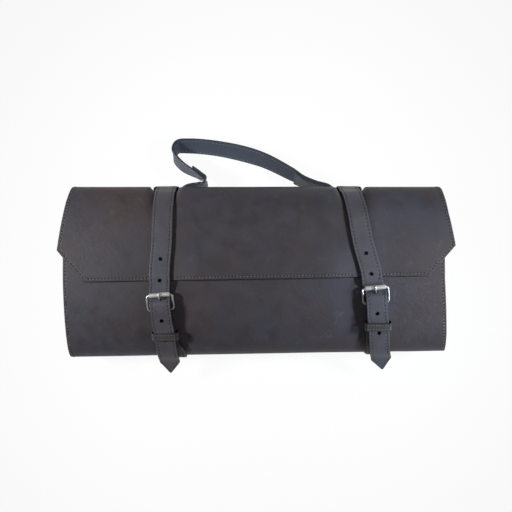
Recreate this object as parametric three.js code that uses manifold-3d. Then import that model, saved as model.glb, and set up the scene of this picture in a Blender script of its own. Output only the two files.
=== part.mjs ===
// A closed leather knife roll lying on its back, with two buckled belts and a flopped carrying handle.
// Millimetres, +Z up. X runs along the roll, +Y points to the handle.

import * as THREE from 'three';
import { mergeVertices } from 'three/addons/utils/BufferGeometryUtils.js';
import Module from 'manifold-3d';

const wasm = await Module();
wasm.setup();

// Roll
const rollWidth = 460;
const rollHeight = 205.6;
const rollTaper = 7.5;
const foldLevel = 36;
const frontRise = 33;
const backDrop = 38;
const backRoundness = 2.4;
const restSoftness = 2;
const wrapWall = 2.4;

// Flap
const flapGap = 0.6;
const flapEdgeDrop = 8.7;
const flapEdgeSlant = 4;
const chamferWidth = 33;
const chamferHeight = 37;
const flapTurnIn = 60;
const innerEndAngle = 38;

// Belts
const beltWidth = 25;
const beltThickness = 2.4;
const beltPointLength = 19;
const beltPointBluntness = 1;
const beltRise = 1.2;
const holeSpacing = 25.6;
const holeDiameter = 4.8;
const holesPerBelt = 5;

// The dent that a tight belt pulls into the top fold, and the wider one where the handle lies behind it
const cinchDepth = 7.2;
const cinchSteepness = 5;
const handleDentReach = 96;
const cinchTurn = 66;

// Buckles and keepers
const wireDiameter = 3;
const rollerDiameter = 5.5;
const rollerLength = 24.6;
const frameLength = 18.6;
const frameCorner = 2.7;
const prongDiameter = 2.4;
const tongueOvershoot = 3;
const slotLength = 11;
const turnedEnd = 14;
const keeperLength = 10;
const keeperThickness = 1.8;
const keeperSideGap = 1.3;
const keeperPlay = 0.8;

// Handle
const handleWidth = 24;
const handleThickness = 2.6;
const handleTail = 60;
const handleAngle = -24;
const handleHoleDiameter = 3.6;
const handleHoleDistance = 47;

// Running clearance between pieces that touch on the real roll
const clearance = 0.3;

// Fineness of the faceted surfaces
const longestFacet = 12;
const turnPerFacet = 16;
const roundSides = 12;
const wireSides = 8;
const frameSteps = 36;
const prongSteps = 26;

// Where each belt lies. The drops are measured from the flap's edge to the roller and from the bar to the
// keeper, the turns are in degrees, aside is how far the belt lies off its roller's middle, and each spot
// is the place along the roll at a named place round it.
const belts = {
  left: {
    rollerDrop: 16.4,
    keeperDrop: 32,
    keeperTurn: 2,
    turn: 5,
    aside: 0,
    spots: {
      tip: -107,
      corner: -106.7,
      keeper: -109.5,
      bar: -113.5,
      flap: -115,
      crest: -112.6,
      top: -112,
      bottom: -98.6,
    },
  },
  right: {
    rollerDrop: 10.6,
    keeperDrop: 27.5,
    keeperTurn: 0,
    turn: 5,
    aside: -1,
    spots: {
      tip: 158.7,
      corner: 154.6,
      keeper: 147,
      bar: 143.6,
      flap: 137,
      crest: 127.5,
      top: 116,
      bottom: 149,
    },
  },
};

// Where the wrap's left and right edges run at the named angles, as shares of half the roll's width.
const wrapSides = [
  { angle: 74, left: 1.038, right: 1.04 },
  { angle: 48, left: 1.015, right: 1.013 },
  { angle: 24, left: 0.997, right: 0.998 },
  { angle: 0, left: 0.986, right: 0.988 },
  { angle: -90, left: 0.99, right: 1 },
  { angle: -180, left: 0.999, right: 1.018 },
  { angle: -220, left: 1.003, right: 1.008 },
  { angle: -265, left: 1.009, right: 0.986 },
];

// Route of the handle between its loops: its middle along the roll, beyond the top fold and its lower
// edge's height, and its lean in degrees.
const handleRoute = [
  { x: -88, beyond: 1, above: 6.4, lean: 18 },
  { x: -71, beyond: 6.3, above: 8, lean: 11 },
  { x: -65.6, beyond: 10.5, above: 9.9, lean: 9 },
  { x: -72.7, beyond: 17.1, above: 11, lean: 12 },
  { x: -94.9, beyond: 31.1, above: 6.8, lean: 28 },
  { x: -104.5, beyond: 44.5, above: 3.3, lean: 34 },
  { x: -100, beyond: 55.2, above: 1.6, lean: 37 },
  { x: -85, beyond: 56.9, above: 0.5, lean: 41 },
  { x: -41, beyond: 52.3, above: 0.5, lean: 44 },
  { x: 7.7, beyond: 39.4, above: 1.5, lean: 44 },
  { x: 45.7, beyond: 20.2, above: 3.5, lean: 36 },
  { x: 61, beyond: 11.5, above: 6.4, lean: 22 },
  { x: 76, beyond: 6.5, above: 6.1, lean: 16 },
  { x: 92, beyond: 1.3, above: 6.4, lean: 18 },
];

// Small helpers

const radians = THREE.MathUtils.degToRad;
const smooth = (value, from, to) => THREE.MathUtils.smoothstep(value, from, to);
const mix = THREE.MathUtils.lerp;

function toSolid(geometry) {
  const bare = geometry.clone();
  bare.deleteAttribute('normal');
  bare.deleteAttribute('uv');
  const merged = mergeVertices(bare, 1e-4);
  const mesh = new wasm.Mesh({
    numProp: 3,
    vertProperties: new Float32Array(merged.attributes.position.array),
    triVerts: new Uint32Array(merged.index.array),
  });
  return new wasm.Manifold(mesh);
}

function toGeometry(solid) {
  const mesh = solid.getMesh();
  const geometry = new THREE.BufferGeometry();
  geometry.setAttribute('position', new THREE.BufferAttribute(new Float32Array(mesh.vertProperties), 3));
  geometry.setIndex(new THREE.BufferAttribute(new Uint32Array(mesh.triVerts), 1));
  geometry.computeVertexNormals();
  return geometry;
}

function cut(geometry, tools) {
  const solid = tools.reduce((rest, tool) => rest.subtract(toSolid(tool)), toSolid(geometry));
  return toGeometry(solid);
}

function moveVertices(geometry, place) {
  const position = geometry.attributes.position;
  const vertex = new THREE.Vector3();
  for (let index = 0; index < position.count; index += 1) {
    vertex.fromBufferAttribute(position, index);
    const moved = place(vertex);
    position.setXYZ(index, moved.x, moved.y, moved.z);
  }
  geometry.computeVertexNormals();
  return geometry;
}

// The roll's section. An angle of 0 is the top fold, 90 the front's crest, 180 the bottom fold
// and 270 the back.

const restLevel = 0;
const backGap = 2 * clearance;
const restDrop = foldLevel - beltThickness - backGap - restLevel;

function halfHeight(side) {
  return (rollHeight - rollTaper * side / rollWidth) / 2;
}

function flattenBack(level) {
  const below = -restDrop - level;
  if (below <= -restSoftness) return level;
  if (below >= restSoftness) return -restDrop;
  return level + (below + restSoftness) ** 2 / (4 * restSoftness);
}

function bareSection(side, angle) {
  const turn = radians(angle);
  const front = Math.sin(turn) >= 0;
  const power = front ? 1 : 2 / backRoundness;
  const rise = front ? frontRise : backDrop;
  const half = halfHeight(side);
  const across = Math.sign(Math.cos(turn)) * Math.abs(Math.cos(turn)) ** power;
  const level = Math.sign(Math.sin(turn)) * Math.abs(Math.sin(turn)) ** power * rise;
  const y = rollHeight / 2 - half + half * across;
  return new THREE.Vector3(side, y, foldLevel + (front ? level : flattenBack(level)));
}

const loopHalf = beltWidth / 2 + handleThickness + beltThickness;

// Where a belt's middle lies along the roll between the top fold and the front's crest.
function frontSide(belt, angle) {
  const share = THREE.MathUtils.clamp(angle / 70, 0, 1) ** 1.6;
  return mix(belt.spots.top, belt.spots.crest, share);
}

// How far the top fold is pulled in: over each belt's width, and wider below the fold, behind the handle.
function cinchAt(side, angle) {
  const turn = THREE.MathUtils.euclideanModulo(angle + 180, 360) - 180;
  const round = 1 - smooth(Math.abs(turn - handleAngle / 2), cinchTurn / 4, cinchTurn);
  const full = mix(beltWidth / 2 + 5 * clearance, loopHalf, smooth(-turn, -4, 4));
  const reach = mix(full + cinchSteepness, handleDentReach, smooth(-turn, 0, 12));
  const along = Object.values(belts).map((belt) => {
    return 1 - smooth(Math.abs(side - frontSide(belt, turn)), full, reach);
  });
  return cinchDepth * round * Math.max(...along);
}

// A point at a height over the roll's outer face, pulled in where a belt cinches the top fold.
function onRoll(side, angle, lift) {
  const step = 0.05;
  const before = bareSection(side, angle - step);
  const after = bareSection(side, angle + step);
  const tangent = after.sub(before).normalize();
  const outward = new THREE.Vector3(0, tangent.z, -tangent.y);
  return bareSection(side, angle).addScaledVector(outward, lift - cinchAt(side, angle));
}

// Wrap: a flat blank bent round the section, from the flap's edge over the top fold, the back,
// the bottom fold and the front to its inner end below the flap.

const flapLift = wrapWall + flapGap;

function flapLiftAt(angle) {
  return flapLift * smooth(angle, -flapTurnIn, innerEndAngle - 6);
}

function angleAtY(y) {
  return THREE.MathUtils.radToDeg(Math.acos(y / (rollHeight / 2)));
}

const flapEdgeAngle = angleAtY(-flapEdgeDrop);
const flapTipAngle = angleAtY(chamferHeight - flapEdgeDrop);
const innerStop = innerEndAngle - 360;

// Angles from one to another, close together where the section turns and at most a facet's length apart.
function facetAngles(from, to) {
  const fine = 900;
  const place = (index) => onRoll(0, mix(from, to, index / fine), 0);
  const effort = [0];
  let before = null;
  for (let index = 1; index <= fine; index += 1) {
    const step = place(index).sub(place(index - 1));
    const bend = before ? THREE.MathUtils.radToDeg(step.angleTo(before)) : 0;
    effort.push(effort[index - 1] + Math.max(step.length() / longestFacet, bend / turnPerFacet));
    before = step;
  }
  const count = Math.ceil(effort[fine]);
  return Array.from({ length: count + 1 }, (_, index) => {
    const wanted = effort[fine] * index / count;
    const next = Math.max(1, effort.findIndex((value) => value >= wanted - 1e-9));
    const share = (wanted - effort[next - 1]) / (effort[next] - effort[next - 1]);
    return mix(from, to, (next - 1 + share) / fine);
  });
}

// The place along the roll of a share from -1 at the wrap's left edge to 1 at its right edge.
function wrapSideAt(share, angle) {
  const last = wrapSides.length - 1;
  const past = wrapSides.findIndex((row) => row.angle <= angle);
  const next = past < 0 ? last : Math.max(1, past);
  const [before, after] = [wrapSides[next - 1], wrapSides[next]];
  const between = THREE.MathUtils.clamp((angle - before.angle) / (after.angle - before.angle), 0, 1);
  const yNow = Math.cos(radians(angle)) * rollHeight / 2;
  const chamfer = Math.max(0, chamferHeight - flapEdgeDrop - yNow) / chamferHeight;
  const narrower = angle > 0 ? chamferWidth * chamfer : 0;
  const half = (side) => mix(before[side], after[side], between) * rollWidth / 2 - narrower;
  return mix(-half('left'), half('right'), (share + 1) / 2);
}

function wrapColumns() {
  const body = rollWidth / 2;
  const marks = [-body, -body * 0.84, 0, body * 0.84, body];
  const steps = [0, beltWidth / 2, loopHalf, handleDentReach * 0.4];
  for (const belt of Object.values(belts)) {
    for (const step of steps) marks.push(belt.spots.top + step, belt.spots.top - step);
  }
  const unique = [...new Set(marks)].filter((mark) => Math.abs(mark) <= body);
  return unique.sort((a, b) => a - b).map((mark) => mark / body);
}

function wrapGeometry() {
  const flapRows = facetAngles(flapEdgeAngle, flapTipAngle);
  const angles = [...flapRows, ...facetAngles(flapTipAngle, innerStop).slice(1)];
  const columns = wrapColumns();
  const blank = new THREE.BoxGeometry(2, 2, 1, columns.length - 1, angles.length - 1, 1);
  return moveVertices(blank, (vertex) => {
    const column = Math.round((vertex.x + 1) / 2 * (columns.length - 1));
    const row = Math.round((1 + vertex.y) / 2 * (angles.length - 1));
    const onFlap = Math.max(0, angles[row]) / flapEdgeAngle;
    const side = wrapSideAt(columns[column], angles[row]);
    const slant = -onFlap * flapEdgeSlant * side / rollWidth * 180 / Math.PI / (rollHeight / 2);
    const lift = angles[row] < innerStop + 180 ? 0 : flapLiftAt(angles[row]);
    return onRoll(side, angles[row] + slant, lift - (vertex.z < 0 ? wrapWall : 0));
  });
}

// A strap is a flat blank bent along a route: points for its middle, each with a hint of the direction
// of its width.

function strapRoute(rows) {
  const path = new THREE.CatmullRomCurve3(rows.map((row) => row.point), false, 'centripetal');
  const hints = new THREE.CatmullRomCurve3(rows.map((row) => row.hint), false, 'centripetal');
  path.arcLengthDivisions = 60 * rows.length;
  return { path, hints, total: path.getLength() };
}

function stationAt(route, share) {
  const inParameter = route.path.getUtoTmapping(share);
  const along = route.path.getTangent(inParameter).normalize();
  const across = route.hints.getPoint(inParameter);
  across.addScaledVector(along, -across.dot(along)).normalize();
  const outward = new THREE.Vector3().crossVectors(across, along);
  const point = route.path.getPoint(inParameter);
  return { point, along, across, outward, share, length: share * route.total };
}

function facetStations(route) {
  const fine = Math.ceil(route.total / 0.7);
  const kept = [stationAt(route, 0)];
  let bend = 0;
  let before = kept[0];
  for (let index = 1; index < fine; index += 1) {
    const station = stationAt(route, index / fine);
    bend += THREE.MathUtils.radToDeg(station.along.angleTo(before.along));
    before = station;
    const since = station.length - kept[kept.length - 1].length;
    if (bend < turnPerFacet && since < longestFacet) continue;
    kept.push(station);
    bend = 0;
  }
  kept.push(stationAt(route, 1));
  return kept;
}

function strapGeometry(stations, width, thickness, halfWidthAt = () => width / 2) {
  const blank = new THREE.BoxGeometry(2, 2, 1, 2, stations.length - 1, 1);
  return moveVertices(blank, (vertex) => {
    const station = stations[Math.round((1 + vertex.y) / 2 * (stations.length - 1))];
    return station.point.clone()
      .addScaledVector(station.across, vertex.x * halfWidthAt(station.length))
      .addScaledVector(station.outward, vertex.z * thickness);
  });
}

function crossCylinder(station, diameter, length) {
  const cylinder = new THREE.CylinderGeometry(diameter / 2, diameter / 2, length, roundSides);
  const turn = new THREE.Quaternion().setFromUnitVectors(new THREE.Vector3(0, 1, 0), station.outward);
  return cylinder.applyQuaternion(turn).translate(station.point.x, station.point.y, station.point.z);
}

// Buckle frame of reference: the bar's middle, with y towards the roller and z away from the roll.

const chapeRadius = wireDiameter / 2 + clearance + beltThickness / 2;
const barLift = chapeRadius + beltThickness / 2 + 2 * clearance;
const buckleLean = 6;
const rollerTop = rollerDiameter / 2;
const underRoller = -(rollerTop + 1.6 * clearance + beltThickness / 2);
const overBar = chapeRadius + beltThickness + clearance;
const tongueHole = 0.66 * frameLength;

// The bar lies a frame's length below the roller, which is placed from the flap's edge.
function barAngle(belt) {
  return angleAtY(-flapEdgeDrop - belt.rollerDrop - frameLength);
}

function buckleFrame(belt) {
  const bar = onRoll(belt.spots.bar, barAngle(belt), barLift);
  const next = onRoll(belt.spots.bar, barAngle(belt) - 4, barLift);
  const along = next.sub(bar).normalize();
  const matrix = new THREE.Matrix4();
  const across = new THREE.Vector3(1, 0, 0);
  matrix.makeBasis(across, along, new THREE.Vector3().crossVectors(across, along));
  const group = new THREE.Group();
  group.position.copy(bar);
  group.quaternion.setFromRotationMatrix(matrix);
  group.rotateZ(radians(belt.turn));
  group.rotateX(radians(buckleLean));
  group.updateMatrixWorld(true);
  return group;
}

// Where the handle loops round a belt: the belt's middle there, its direction up and its outward normal.
function loopSpot(belt) {
  const overHandle = handleThickness + 8 * clearance + beltThickness / 2;
  const place = (angle) => onRoll(belt.spots.top, angle, flapLiftAt(angle) + overHandle);
  const centre = place(handleAngle);
  const above = place(handleAngle + 10);
  const below = place(handleAngle - 10);
  const up = above.sub(below).normalize();
  const across = new THREE.Vector3(1, 0, 0);
  return { centre, up, across, outward: new THREE.Vector3().crossVectors(across, up) };
}

// Belt route, from its point up the front, over the top fold, down the back, round the bottom fold
// and up to the buckle's bar, which its other end wraps.

const keeperSeat = keeperThickness + clearance;
const degreesPerMillimetre = 0.64;
const keeperAngle = (belt) => barAngle(belt) + belt.keeperDrop * degreesPerMillimetre;

function beltRoute(belt) {
  const spots = belt.spots;
  const buckle = buckleFrame(belt);
  const middle = beltThickness / 2;
  const atKeeper = keeperAngle(belt);
  const onChape = keeperSeat + 2 * keeperPlay + beltThickness;
  const overFlap = flapLift + beltRise;
  const spot = loopSpot(belt);
  const sideways = new THREE.Vector3(1, 0, 0);
  const barways = sideways.clone().applyQuaternion(buckle.quaternion);
  const roll = (angle, side, lift) => ({
    point: onRoll(side, angle, lift + middle),
    hint: bareSection(side + 1, angle).sub(bareSection(side - 1, angle)).normalize(),
  });
  const local = (y, z, x = 0) => ({
    point: buckle.localToWorld(new THREE.Vector3(x, y, z)),
    hint: barways,
  });
  const between = (from, to, share) => mix(spots[from], spots[to], share);
  const freeEnd = [
    roll(185, spots.tip, 22.3),
    roll(175, spots.corner, 6),
    roll(162, between('corner', 'keeper', 0.35), beltThickness + 2.4),
    roll(148, between('corner', 'keeper', 0.65), onChape - 0.2),
    roll(atKeeper, spots.keeper, onChape + clearance),
    local(-16, overBar - 0.6),
    local(-8, overBar - 0.1),
    local(0, overBar),
    local(0.28 * frameLength, overBar - 0.5),
    local(0.512 * frameLength, mix(underRoller, overBar, 0.842)),
    local(0.716 * frameLength, mix(underRoller, overBar, 0.348)),
    local(frameLength - 2.6, underRoller + 0.5),
    local(frameLength, underRoller + 0.1, belt.aside),
    local(frameLength + 3.2, underRoller + 0.2, 2 * belt.aside),
  ];
  const front = [
    roll(flapEdgeAngle + 2, between('bar', 'flap', 0.8), overFlap - 0.5),
    roll(flapEdgeAngle - 4, spots.flap, overFlap),
    roll(70, spots.crest, overFlap),
    roll(45, frontSide(belt, 45), overFlap),
    roll(22, frontSide(belt, 22), flapLiftAt(22) + beltRise),
    roll(7, spots.top, flapLiftAt(7) + 4 * clearance),
  ];
  const overHandle = [0.52, 0.28, 0, -0.28, -0.55, -0.7].map((share) => ({
    point: spot.centre.clone().addScaledVector(spot.up, share * handleWidth),
    hint: sideways,
  }));
  const back = [];
  for (let angle = -62; angle > -205; angle -= 6) {
    const share = Math.min(1, (angle + 44) / -130);
    back.push(roll(angle, between('top', 'bottom', share), mix(backGap, 1.5, smooth(angle, -80, -56))));
  }
  const chape = [
    roll(-213, between('bottom', 'bar', 0.46), keeperSeat + 0.5),
    roll(atKeeper - 360, between('bottom', 'bar', 0.66), keeperSeat + keeperPlay + 2 * clearance),
    local(-9, chapeRadius - 0.3),
    local(-4, chapeRadius),
    ...[90, 45, 0, -45, -90].map((angle) => {
      return local(chapeRadius * Math.cos(radians(angle)), chapeRadius * Math.sin(radians(angle)));
    }),
    roll(barAngle(belt) - 360 + 3.4, between('bottom', 'bar', 0.9), 1.5 * clearance),
    roll(barAngle(belt) - 360 + turnedEnd * 0.58, between('bottom', 'bar', 0.8), 1.5 * clearance),
  ];
  return { route: strapRoute([...freeEnd, ...front, ...overHandle, ...back, ...chape]), buckle };
}

function nearestStation(route, target, from, to) {
  let best = { distance: Infinity };
  for (let share = from; share <= to; share += 0.0004) {
    const station = stationAt(route, share);
    const distance = station.point.distanceTo(target);
    if (distance < best.distance) best = { station, distance };
  }
  return best.station;
}

function beltGeometry(belt) {
  const { route, buckle } = beltRoute(belt);
  const halfWidthAt = (length) => Math.min(
    beltWidth / 2,
    mix(beltPointBluntness, beltWidth / 2, length / beltPointLength),
  );
  const blank = strapGeometry(facetStations(route), beltWidth, beltThickness, halfWidthAt);
  moveVertices(blank, (vertex) => vertex.setZ(Math.max(vertex.z, restLevel)));
  const tongueSpot = buckle.localToWorld(new THREE.Vector3(0, tongueHole, 1));
  const tongueStation = nearestStation(route, tongueSpot, 0, 0.4);
  const tools = [];
  for (let index = 0; index < holesPerBelt; index += 1) {
    const share = tongueStation.share + (index - 2) * holeSpacing / route.total;
    tools.push(crossCylinder(stationAt(route, share), holeDiameter, 3 * beltThickness));
  }
  const slotWidth = prongDiameter + 4 * clearance;
  const slotHeight = 2 * (chapeRadius + beltThickness / 2) + clearance;
  const slot = new THREE.BoxGeometry(slotWidth, slotLength, slotHeight);
  slot.applyMatrix4(buckle.matrixWorld);
  return cut(blank, [...tools, slot]);
}

// Keeper: a closed band round the belt's free end and the end below it

function roundedOutline(width, height, radius, target) {
  const x = width / 2;
  const y = height / 2;
  target.moveTo(x - radius, -y);
  target.absarc(x - radius, -y + radius, radius, -Math.PI / 2, 0, false);
  target.absarc(x - radius, y - radius, radius, 0, Math.PI / 2, false);
  target.absarc(-x + radius, y - radius, radius, Math.PI / 2, Math.PI, false);
  target.absarc(-x + radius, -y + radius, radius, Math.PI, Math.PI * 1.5, false);
  return target;
}

function keeperGeometry(belt) {
  const { route } = beltRoute(belt);
  const guess = onRoll(belt.spots.keeper, keeperAngle(belt), keeperSeat + beltThickness);
  const upper = nearestStation(route, guess, 0, 0.3);
  const lower = nearestStation(route, upper.point, 0.75, 0.97);
  const innerHeight = upper.point.distanceTo(lower.point) + beltThickness + 2 * keeperPlay;
  const innerWidth = beltWidth + Math.abs(upper.point.x - lower.point.x) + 2 * keeperSideGap;
  const corner = 1.6;
  const outline = roundedOutline(
    innerWidth + 2 * keeperThickness,
    innerHeight + 2 * keeperThickness,
    corner + keeperThickness,
    new THREE.Shape(),
  );
  outline.holes.push(roundedOutline(innerWidth, innerHeight, corner, new THREE.Path()));
  const options = { depth: keeperLength, bevelEnabled: false, curveSegments: 3 };
  const band = new THREE.ExtrudeGeometry(outline, options);
  band.translate(0, 0, -keeperLength / 2);
  const turn = radians(belt.keeperTurn);
  const across = new THREE.Vector3(Math.cos(turn), Math.sin(turn), 0);
  const along = new THREE.Vector3().crossVectors(across, lower.outward).normalize();
  const outward = new THREE.Vector3().crossVectors(along, across);
  band.applyMatrix4(new THREE.Matrix4().makeBasis(across, outward, along));
  const centre = upper.point.clone().add(lower.point).multiplyScalar(0.5);
  return band.translate(centre.x, centre.y, centre.z);
}

// Buckle: a bent wire frame, a roller on its far bar and a prong on its near bar

const frameWidth = rollerLength + 2 * clearance + 2 * frameCorner;

function framePoint(share) {
  const outline = roundedOutline(frameWidth, frameLength, frameCorner, new THREE.Path());
  outline.closePath();
  const point = outline.getPointAt(share % 1);
  const ahead = outline.getPointAt((share + 0.002) % 1);
  const tangent = ahead.clone().sub(point).normalize();
  return { point, outward: new THREE.Vector2(tangent.y, -tangent.x) };
}

function buckleFrameGeometry() {
  const ring = new THREE.TorusGeometry(2, 1, wireSides, frameSteps);
  moveVertices(ring, (vertex) => {
    const share = THREE.MathUtils.euclideanModulo(Math.atan2(vertex.y, vertex.x) / (2 * Math.PI), 1);
    const { point, outward } = framePoint(Math.round(share * frameSteps) / frameSteps);
    const away = (Math.hypot(vertex.x, vertex.y) - 2) * wireDiameter / 2;
    return new THREE.Vector3(
      point.x + outward.x * away,
      point.y + outward.y * away,
      vertex.z * wireDiameter / 2,
    );
  });
  return ring.translate(0, frameLength / 2, 0);
}

function rollerGeometry() {
  const inner = wireDiameter / 2 + clearance;
  const end = rollerLength / 2;
  const outer = rollerDiameter / 2;
  const profile = [[inner, -end], [outer, -end], [outer, end], [inner, end], [inner, -end]];
  const points = profile.map(([radius, level]) => new THREE.Vector2(radius, level));
  const tube = new THREE.LatheGeometry(points, roundSides + 2);
  return tube.rotateZ(Math.PI / 2).translate(0, frameLength, 0);
}

function prongGeometry() {
  const loopRadius = wireDiameter / 2 + clearance + prongDiameter / 2;
  const overRoller = rollerDiameter / 2 + clearance + prongDiameter / 2;
  const loop = [-60, -100, -140, -180, -220].map((angle) => {
    return [loopRadius * Math.cos(radians(angle)), loopRadius * Math.sin(radians(angle))];
  });
  const tongue = [
    [0.6, loopRadius],
    [0.256 * frameLength, 2.1],
    [0.447 * frameLength, 0.3],
    [0.605 * frameLength, 1.3],
    [0.744 * frameLength, 3],
    [0.874 * frameLength, overRoller - 0.1],
    [frameLength, overRoller + 0.05],
    [frameLength + tongueOvershoot, overRoller - 0.9],
  ];
  const points = [...loop, ...tongue].map(([y, z]) => new THREE.Vector3(0, y, z));
  const route = new THREE.CatmullRomCurve3(points, false, 'centripetal');
  const section = new THREE.Shape();
  section.absarc(0, 0, prongDiameter / 2, 0, 2 * Math.PI, false);
  const curveSegments = wireSides / 2;
  const options = { steps: prongSteps, extrudePath: route, bevelEnabled: false, curveSegments };
  return new THREE.ExtrudeGeometry(section, options);
}

// Handle: one strap whose two ends loop round the belts and lie back along it

// direction is -1 where the strap turns round the belt's left edge and 1 where it turns round its right.
function handleLoop(belt, direction) {
  const spot = loopSpot(belt);
  const half = beltWidth / 2 + 2 * clearance;
  const away = beltThickness / 2 + 2.2 * clearance + handleThickness / 2;
  const place = (across, outward) => ({
    point: spot.centre.clone()
      .addScaledVector(spot.across, across * direction)
      .addScaledVector(spot.outward, outward),
    hint: spot.up,
  });
  const bend = [60, 20, -20, -60].map((angle) => place(
    half + away * Math.cos(radians(angle)) * 0.9,
    away * Math.sin(radians(angle)),
  ));
  const outer = [place(-half - 1, away + 1.1), place(0, away + 0.6), place(half - 1, away + 0.1)];
  const inner = [place(half - 1, -away), place(0, -away - 0.1), place(-half - 1, -away + 0.1)];
  return { outer, bend, inner };
}

function handleGeometry() {
  const left = handleLoop(belts.left, -1);
  const right = handleLoop(belts.right, 1);
  const middle = handleRoute.map((row) => {
    const [slope, upright] = [Math.sin(radians(row.lean)), Math.cos(radians(row.lean))];
    const height = row.above + (handleWidth * upright + handleThickness * slope) / 2;
    return {
      point: new THREE.Vector3(row.x, rollHeight / 2 + row.beyond, height),
      hint: new THREE.Vector3(0, slope, upright),
    };
  });
  const mainRows = [...left.outer.slice().reverse(), ...middle, ...right.outer];
  const main = strapRoute(mainRows);
  const loopLength = beltWidth + 2;
  const tailGap = (fromLoop) => mix(
    beltThickness + 3 * clearance + handleThickness,
    handleThickness + 1.3 * clearance,
    smooth(fromLoop, 0, 12),
  );
  const tailStops = [8, 14, 20, 25, 31, 37, 43, 49, 54, handleTail];
  const tailOf = (shareAt) => tailStops.map((fromLoop) => {
    const station = stationAt(main, shareAt((loopLength + fromLoop) / main.total));
    return {
      point: station.point.clone().addScaledVector(station.outward, -tailGap(fromLoop)),
      hint: station.across,
    };
  });
  const leftEnd = [...left.bend, ...left.inner, ...tailOf((share) => share)];
  const rightEnd = [...right.bend, ...right.inner, ...tailOf((share) => 1 - share)];
  const route = strapRoute([...leftEnd.reverse(), ...mainRows, ...rightEnd]);
  const blank = strapGeometry(facetStations(route), handleWidth, handleThickness);
  const holeStation = stationAt(main, (loopLength + handleHoleDistance) / main.total);
  return cut(blank, [crossCylinder(holeStation, handleHoleDiameter, 1.2 * handleThickness)]);
}

// Materials

function leather(name, colour) {
  return new THREE.MeshStandardMaterial({ name, color: colour, roughness: 0.58, metalness: 0 });
}

function nickel(name, colour) {
  return new THREE.MeshStandardMaterial({ name, color: colour, roughness: 0.28, metalness: 1 });
}

function addPiece(parent, name, geometry, material) {
  const mesh = new THREE.Mesh(geometry, material);
  mesh.name = name;
  parent.add(mesh);
}

// Assembly

const knifeRoll = new THREE.Group();
const model = new THREE.Group();
knifeRoll.add(model);

addPiece(model, 'wrap', wrapGeometry(), leather('wrap_leather', '#4a4648'));
for (const [name, belt] of Object.entries(belts)) {
  addPiece(model, `belt_${name}`, beltGeometry(belt), leather('belt_leather', '#4b474c'));
  addPiece(model, `keeper_${name}`, keeperGeometry(belt), leather('keeper_leather', '#433f40'));
  const buckle = buckleFrame(belt);
  addPiece(buckle, `buckle_frame_${name}`, buckleFrameGeometry(), nickel('frame_nickel', '#c8c8c3'));
  addPiece(buckle, `buckle_roller_${name}`, rollerGeometry(), nickel('roller_nickel', '#d0d0cc'));
  addPiece(buckle, `buckle_prong_${name}`, prongGeometry(), nickel('prong_nickel', '#c4c4c0'));
  model.add(buckle);
}
addPiece(model, 'handle', handleGeometry(), leather('handle_leather', '#414858'));

// The origin is the middle of the whole model's box, on the surface that it lies on.
knifeRoll.updateMatrixWorld(true);
const box = new THREE.Box3().setFromObject(model, true);
const centre = box.getCenter(new THREE.Vector3());
model.position.set(-centre.x, -centre.y, -box.min.z);
knifeRoll.updateMatrixWorld(true);

export default knifeRoll;
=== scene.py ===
import math

import bpy
import numpy as np
from mathutils import Matrix, Vector


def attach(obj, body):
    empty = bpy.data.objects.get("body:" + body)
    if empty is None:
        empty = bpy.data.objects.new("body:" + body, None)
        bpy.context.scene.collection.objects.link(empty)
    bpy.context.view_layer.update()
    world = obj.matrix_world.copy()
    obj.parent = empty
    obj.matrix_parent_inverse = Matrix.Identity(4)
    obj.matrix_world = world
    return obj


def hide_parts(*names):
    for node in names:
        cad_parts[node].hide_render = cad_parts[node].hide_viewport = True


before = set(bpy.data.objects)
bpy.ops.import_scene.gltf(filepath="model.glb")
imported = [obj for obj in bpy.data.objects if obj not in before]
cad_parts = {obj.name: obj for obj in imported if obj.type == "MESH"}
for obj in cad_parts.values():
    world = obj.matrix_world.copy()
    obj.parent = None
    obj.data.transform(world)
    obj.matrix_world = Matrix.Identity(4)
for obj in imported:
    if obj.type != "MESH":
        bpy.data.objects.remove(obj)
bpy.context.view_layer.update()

print("frame loaded")

# The roll's sizes are in millimetres in the drawing's frame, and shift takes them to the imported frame.
shift = np.array([-0.229996, -20.187407, 0.0])
clearance = 0.3

roll = {
    "width": 460, "height": 205.6, "taper": 7.5, "foldLevel": 36, "frontRise": 33, "backDrop": 38,
    "backRoundness": 2.4, "restSoftness": 2, "wall": 2.4, "restDrop": 33.0,
}
flap = {
    "gap": 0.6, "edgeDrop": 8.7, "edgeSlant": 4, "chamferWidth": 33, "chamferHeight": 37,
    "turnIn": 60, "innerEnd": 38, "stand": 3.4,
}
belt = {
    "width": 25, "thickness": 2.4, "pointLength": 19, "pointBluntness": 1, "rise": 1.2,
    "holeSpacing": 25.6, "holeDiameter": 4.8, "holes": 5, "backGap": 0.6,
}
cinch = {"depth": 7.2, "steepness": 5, "reach": 96, "turn": 66}
buckle = {
    "wire": 3, "roller": 5.5, "rollerLength": 24.6, "length": 18.6, "corner": 2.7, "prong": 2.4,
    "tongueShare": 0.66, "overshoot": 3, "slotLength": 11, "turnedEnd": 14, "lean": 6,
}
keeper = {
    "length": 10, "thickness": 1.8, "sideGap": 1.3, "play": 0.8, "perMillimetre": 0.64, "corner": 2.5,
    "bulge": 0.45, "seamOffset": 2.7,
}
handle = {"width": 24, "thickness": 2.6, "tail": 60, "angle": -24, "hole": 3.6, "holeAt": 47}

belts = {
    "left": {
        "rollerDrop": 16.4, "keeperDrop": 32, "keeperTurn": 2, "turn": 5, "aside": 0,
        "tip": -107, "corner": -106.7, "keeper": -109.5, "bar": -113.5,
        "flap": -115, "crest": -112.6, "top": -112, "bottom": -98.6,
    },
    "right": {
        "rollerDrop": 10.6, "keeperDrop": 27.5, "keeperTurn": 0, "turn": 5, "aside": -1,
        "tip": 158.7, "corner": 154.6, "keeper": 147, "bar": 143.6,
        "flap": 137, "crest": 127.5, "top": 116, "bottom": 149,
    },
}

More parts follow.
